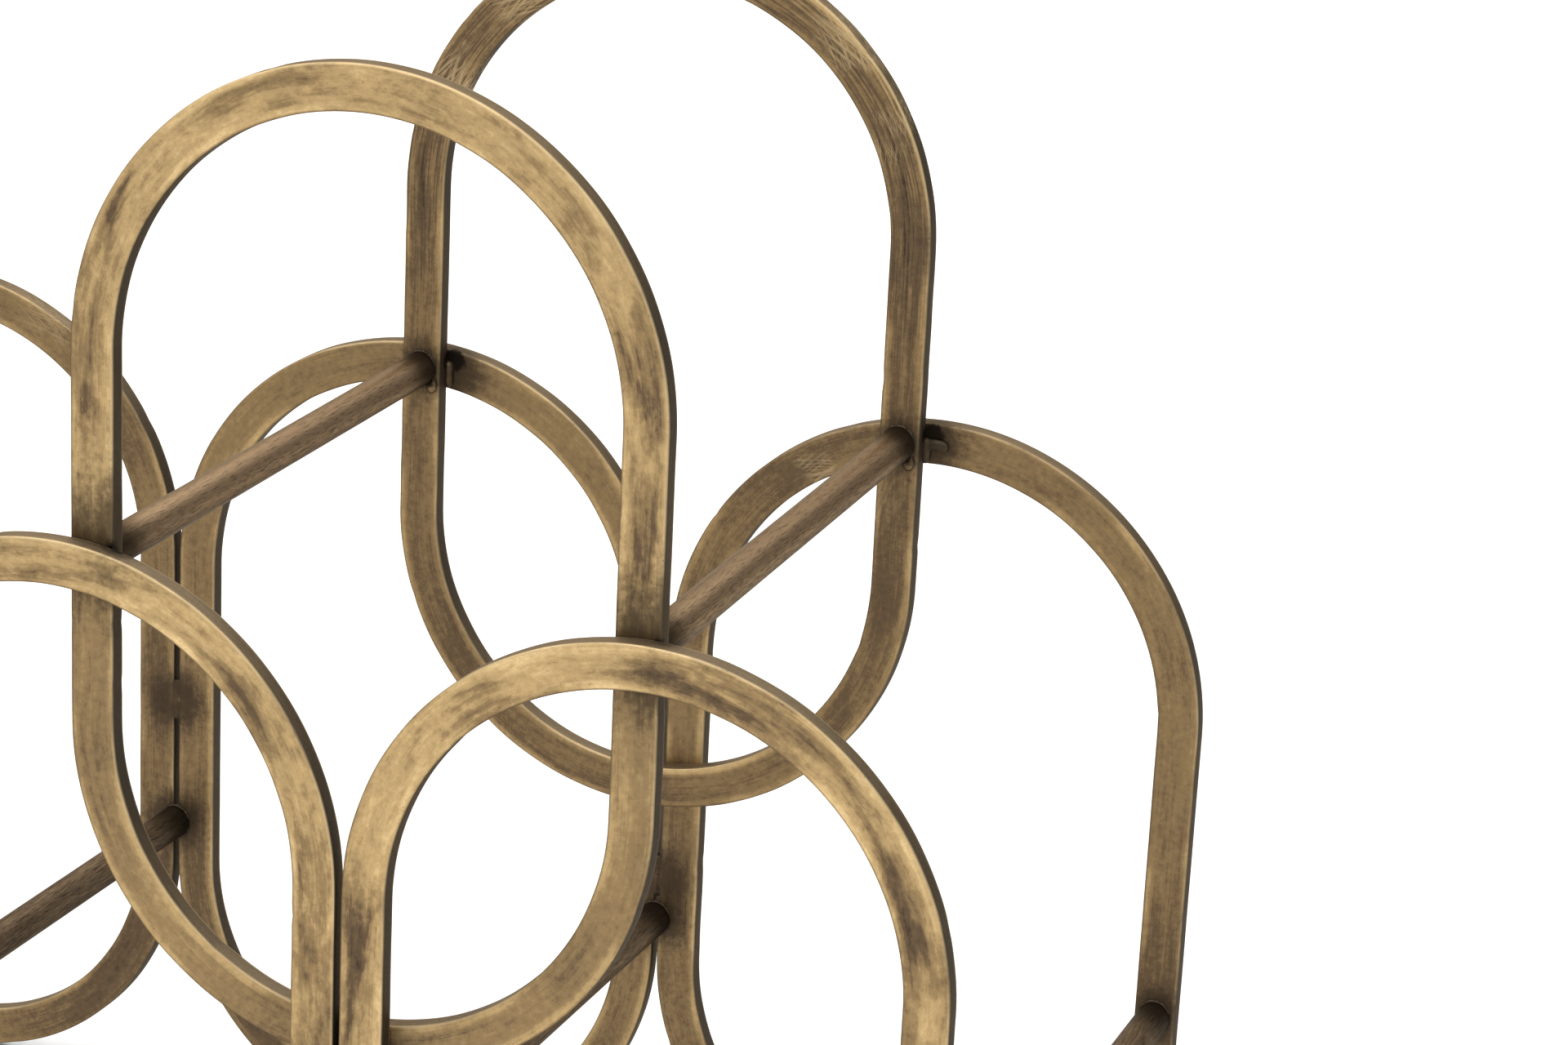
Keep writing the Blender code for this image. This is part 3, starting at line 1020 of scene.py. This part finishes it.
def floor_paint(name):
    """Matt off-white paper with a very faint tooth."""
    s = Shader(name)
    tooth = s.noise(s.position(), scale=PAPER_TOOTH, detail=4, roughness=0.6)
    s.put(s.surface.inputs["Base Color"], s.blend(s.ramp(tooth, 0.3, 0.7), PAPER_SHADE, PAPER))
    s.put(s.surface.inputs["Roughness"], s.ramp(tooth, 0.3, 0.7, 0.75, 0.85))
    s.put(s.surface.inputs["Normal"], s.bump(tooth, PAPER_RELIEF, 0.1))
    return s.material


# ---------------------------------------------------------------- the rack

def build_rack():
    ring = ring_brass("ring_brass_brushed")
    rod = rod_brass("rod_brass_drawn")
    weld = weld_brass("weld_brass_bead")
    for seed, node in enumerate(ring_nodes(), start=1):
        make_ring(node, ring, "ring_brass", seed)
    for seed, (node, front_end, back_end) in enumerate(rod_places(), start=ROD_SEED):
        make_rod(node, front_end, back_end, rod, "rod_brass", seed)
        make_rod_weld(f"{node}_front_weld", front_end, -1, weld, "weld_brass", seed * 2)
        make_rod_weld(f"{node}_back_weld", back_end, 1, weld, "weld_brass", seed * 2 + 1)
    seed = WELD_SEED
    for side, sign in SIDES.items():
        for i in range(1, 2 * UPPER_COUNT + 1):
            seed += 1
            make_crossing_weld(f"{side}_crossing_weld_{i}", sign, weld, "weld_brass", seed)
        for i in range(1, LOWER_COUNT):
            seed += 1
            make_seam_weld(f"{side}_seam_weld_{i}", weld, "weld_brass", seed)


# ---------------------------------------------------------------- floor, light and camera

def make_floor():
    bm = bmesh.new()
    bmesh.ops.create_grid(bm, x_segments=FLOOR_SQUARES, y_segments=FLOOR_SQUARES, size=FLOOR_SIZE / 2)
    mesh = bpy.data.meshes.new("floor")
    bm.to_mesh(mesh)
    bm.free()
    floor = bpy.data.objects.new("floor", mesh)
    floor.location.z = cad_box[0][2]
    bpy.context.scene.collection.objects.link(floor)
    mesh.materials.append(floor_paint("floor_paper"))


def make_softbox(name, place, target, size, radiance):
    """A rectangular area light aimed at a point, with its strength given as radiance."""
    data = bpy.data.lights.new(name, "AREA")
    data.shape = "RECTANGLE"
    data.size, data.size_y = size
    data.energy = radiance * math.pi * size[0] * size[1]
    light = bpy.data.objects.new(name, data)
    light.location = place
    light.rotation_mode = "QUATERNION"
    light.rotation_quaternion = (Vector(target) - Vector(place)).to_track_quat("-Z", "Y")
    bpy.context.scene.collection.objects.link(light)


def make_room():
    """A plain studio: white where the camera looks, brighter in front of the rack than behind it."""
    world = bpy.data.worlds.new("studio")
    world.use_nodes = True
    tree = world.node_tree
    background = tree.nodes["Background"]
    direction = tree.nodes.new("ShaderNodeTexCoord").outputs["Generated"]
    split = tree.nodes.new("ShaderNodeSeparateXYZ")
    tree.links.new(direction, split.inputs[0])
    toward_back = tree.nodes.new("ShaderNodeMapRange")
    toward_back.interpolation_type = "SMOOTHSTEP"
    tree.links.new(split.outputs["Y"], toward_back.inputs["Value"])
    toward_back.inputs["From Min"].default_value = ROOM_TURN[0]
    toward_back.inputs["From Max"].default_value = ROOM_TURN[1]
    room = tree.nodes.new("ShaderNodeMix")
    room.data_type = "RGBA"
    tree.links.new(toward_back.outputs[0], room.inputs[0])
    room.inputs[6].default_value = ROOM_FRONT
    room.inputs[7].default_value = ROOM_BACK
    seen = tree.nodes.new("ShaderNodeLightPath").outputs["Is Camera Ray"]
    backdrop = tree.nodes.new("ShaderNodeMix")
    backdrop.data_type = "RGBA"
    tree.links.new(seen, backdrop.inputs[0])
    tree.links.new(room.outputs[2], backdrop.inputs[6])
    backdrop.inputs[7].default_value = BACKDROP
    tree.links.new(backdrop.outputs[2], background.inputs["Color"])
    bpy.context.scene.world = world


def make_light():
    for name, (place, target, size, radiance) in SOFTBOXES.items():
        make_softbox(name, place, target, size, radiance)
    make_room()
    bpy.context.scene.view_settings.view_transform = "Standard"


def make_camera():
    data = bpy.data.cameras.new("camera")
    data.lens = CAMERA_LENS
    data.sensor_width = CAMERA_SENSOR
    camera = bpy.data.objects.new("camera", data)
    forward = Vector((math.sin(CAMERA_YAW) * math.cos(CAMERA_PITCH),
                      math.cos(CAMERA_YAW) * math.cos(CAMERA_PITCH), -math.sin(CAMERA_PITCH)))
    level = Vector((math.cos(CAMERA_YAW), -math.sin(CAMERA_YAW), 0))
    steep = level.cross(forward)
    right = math.cos(CAMERA_ROLL) * level + math.sin(CAMERA_ROLL) * steep
    up = right.cross(forward)
    turn = Matrix((right, up, -forward)).transposed().to_4x4()
    camera.matrix_world = Matrix.Translation(CAMERA_PLACE) @ turn
    bpy.context.scene.collection.objects.link(camera)
    bpy.context.scene.camera = camera


build_rack()
make_floor()
make_light()
make_camera()
bpy.context.view_layer.update()
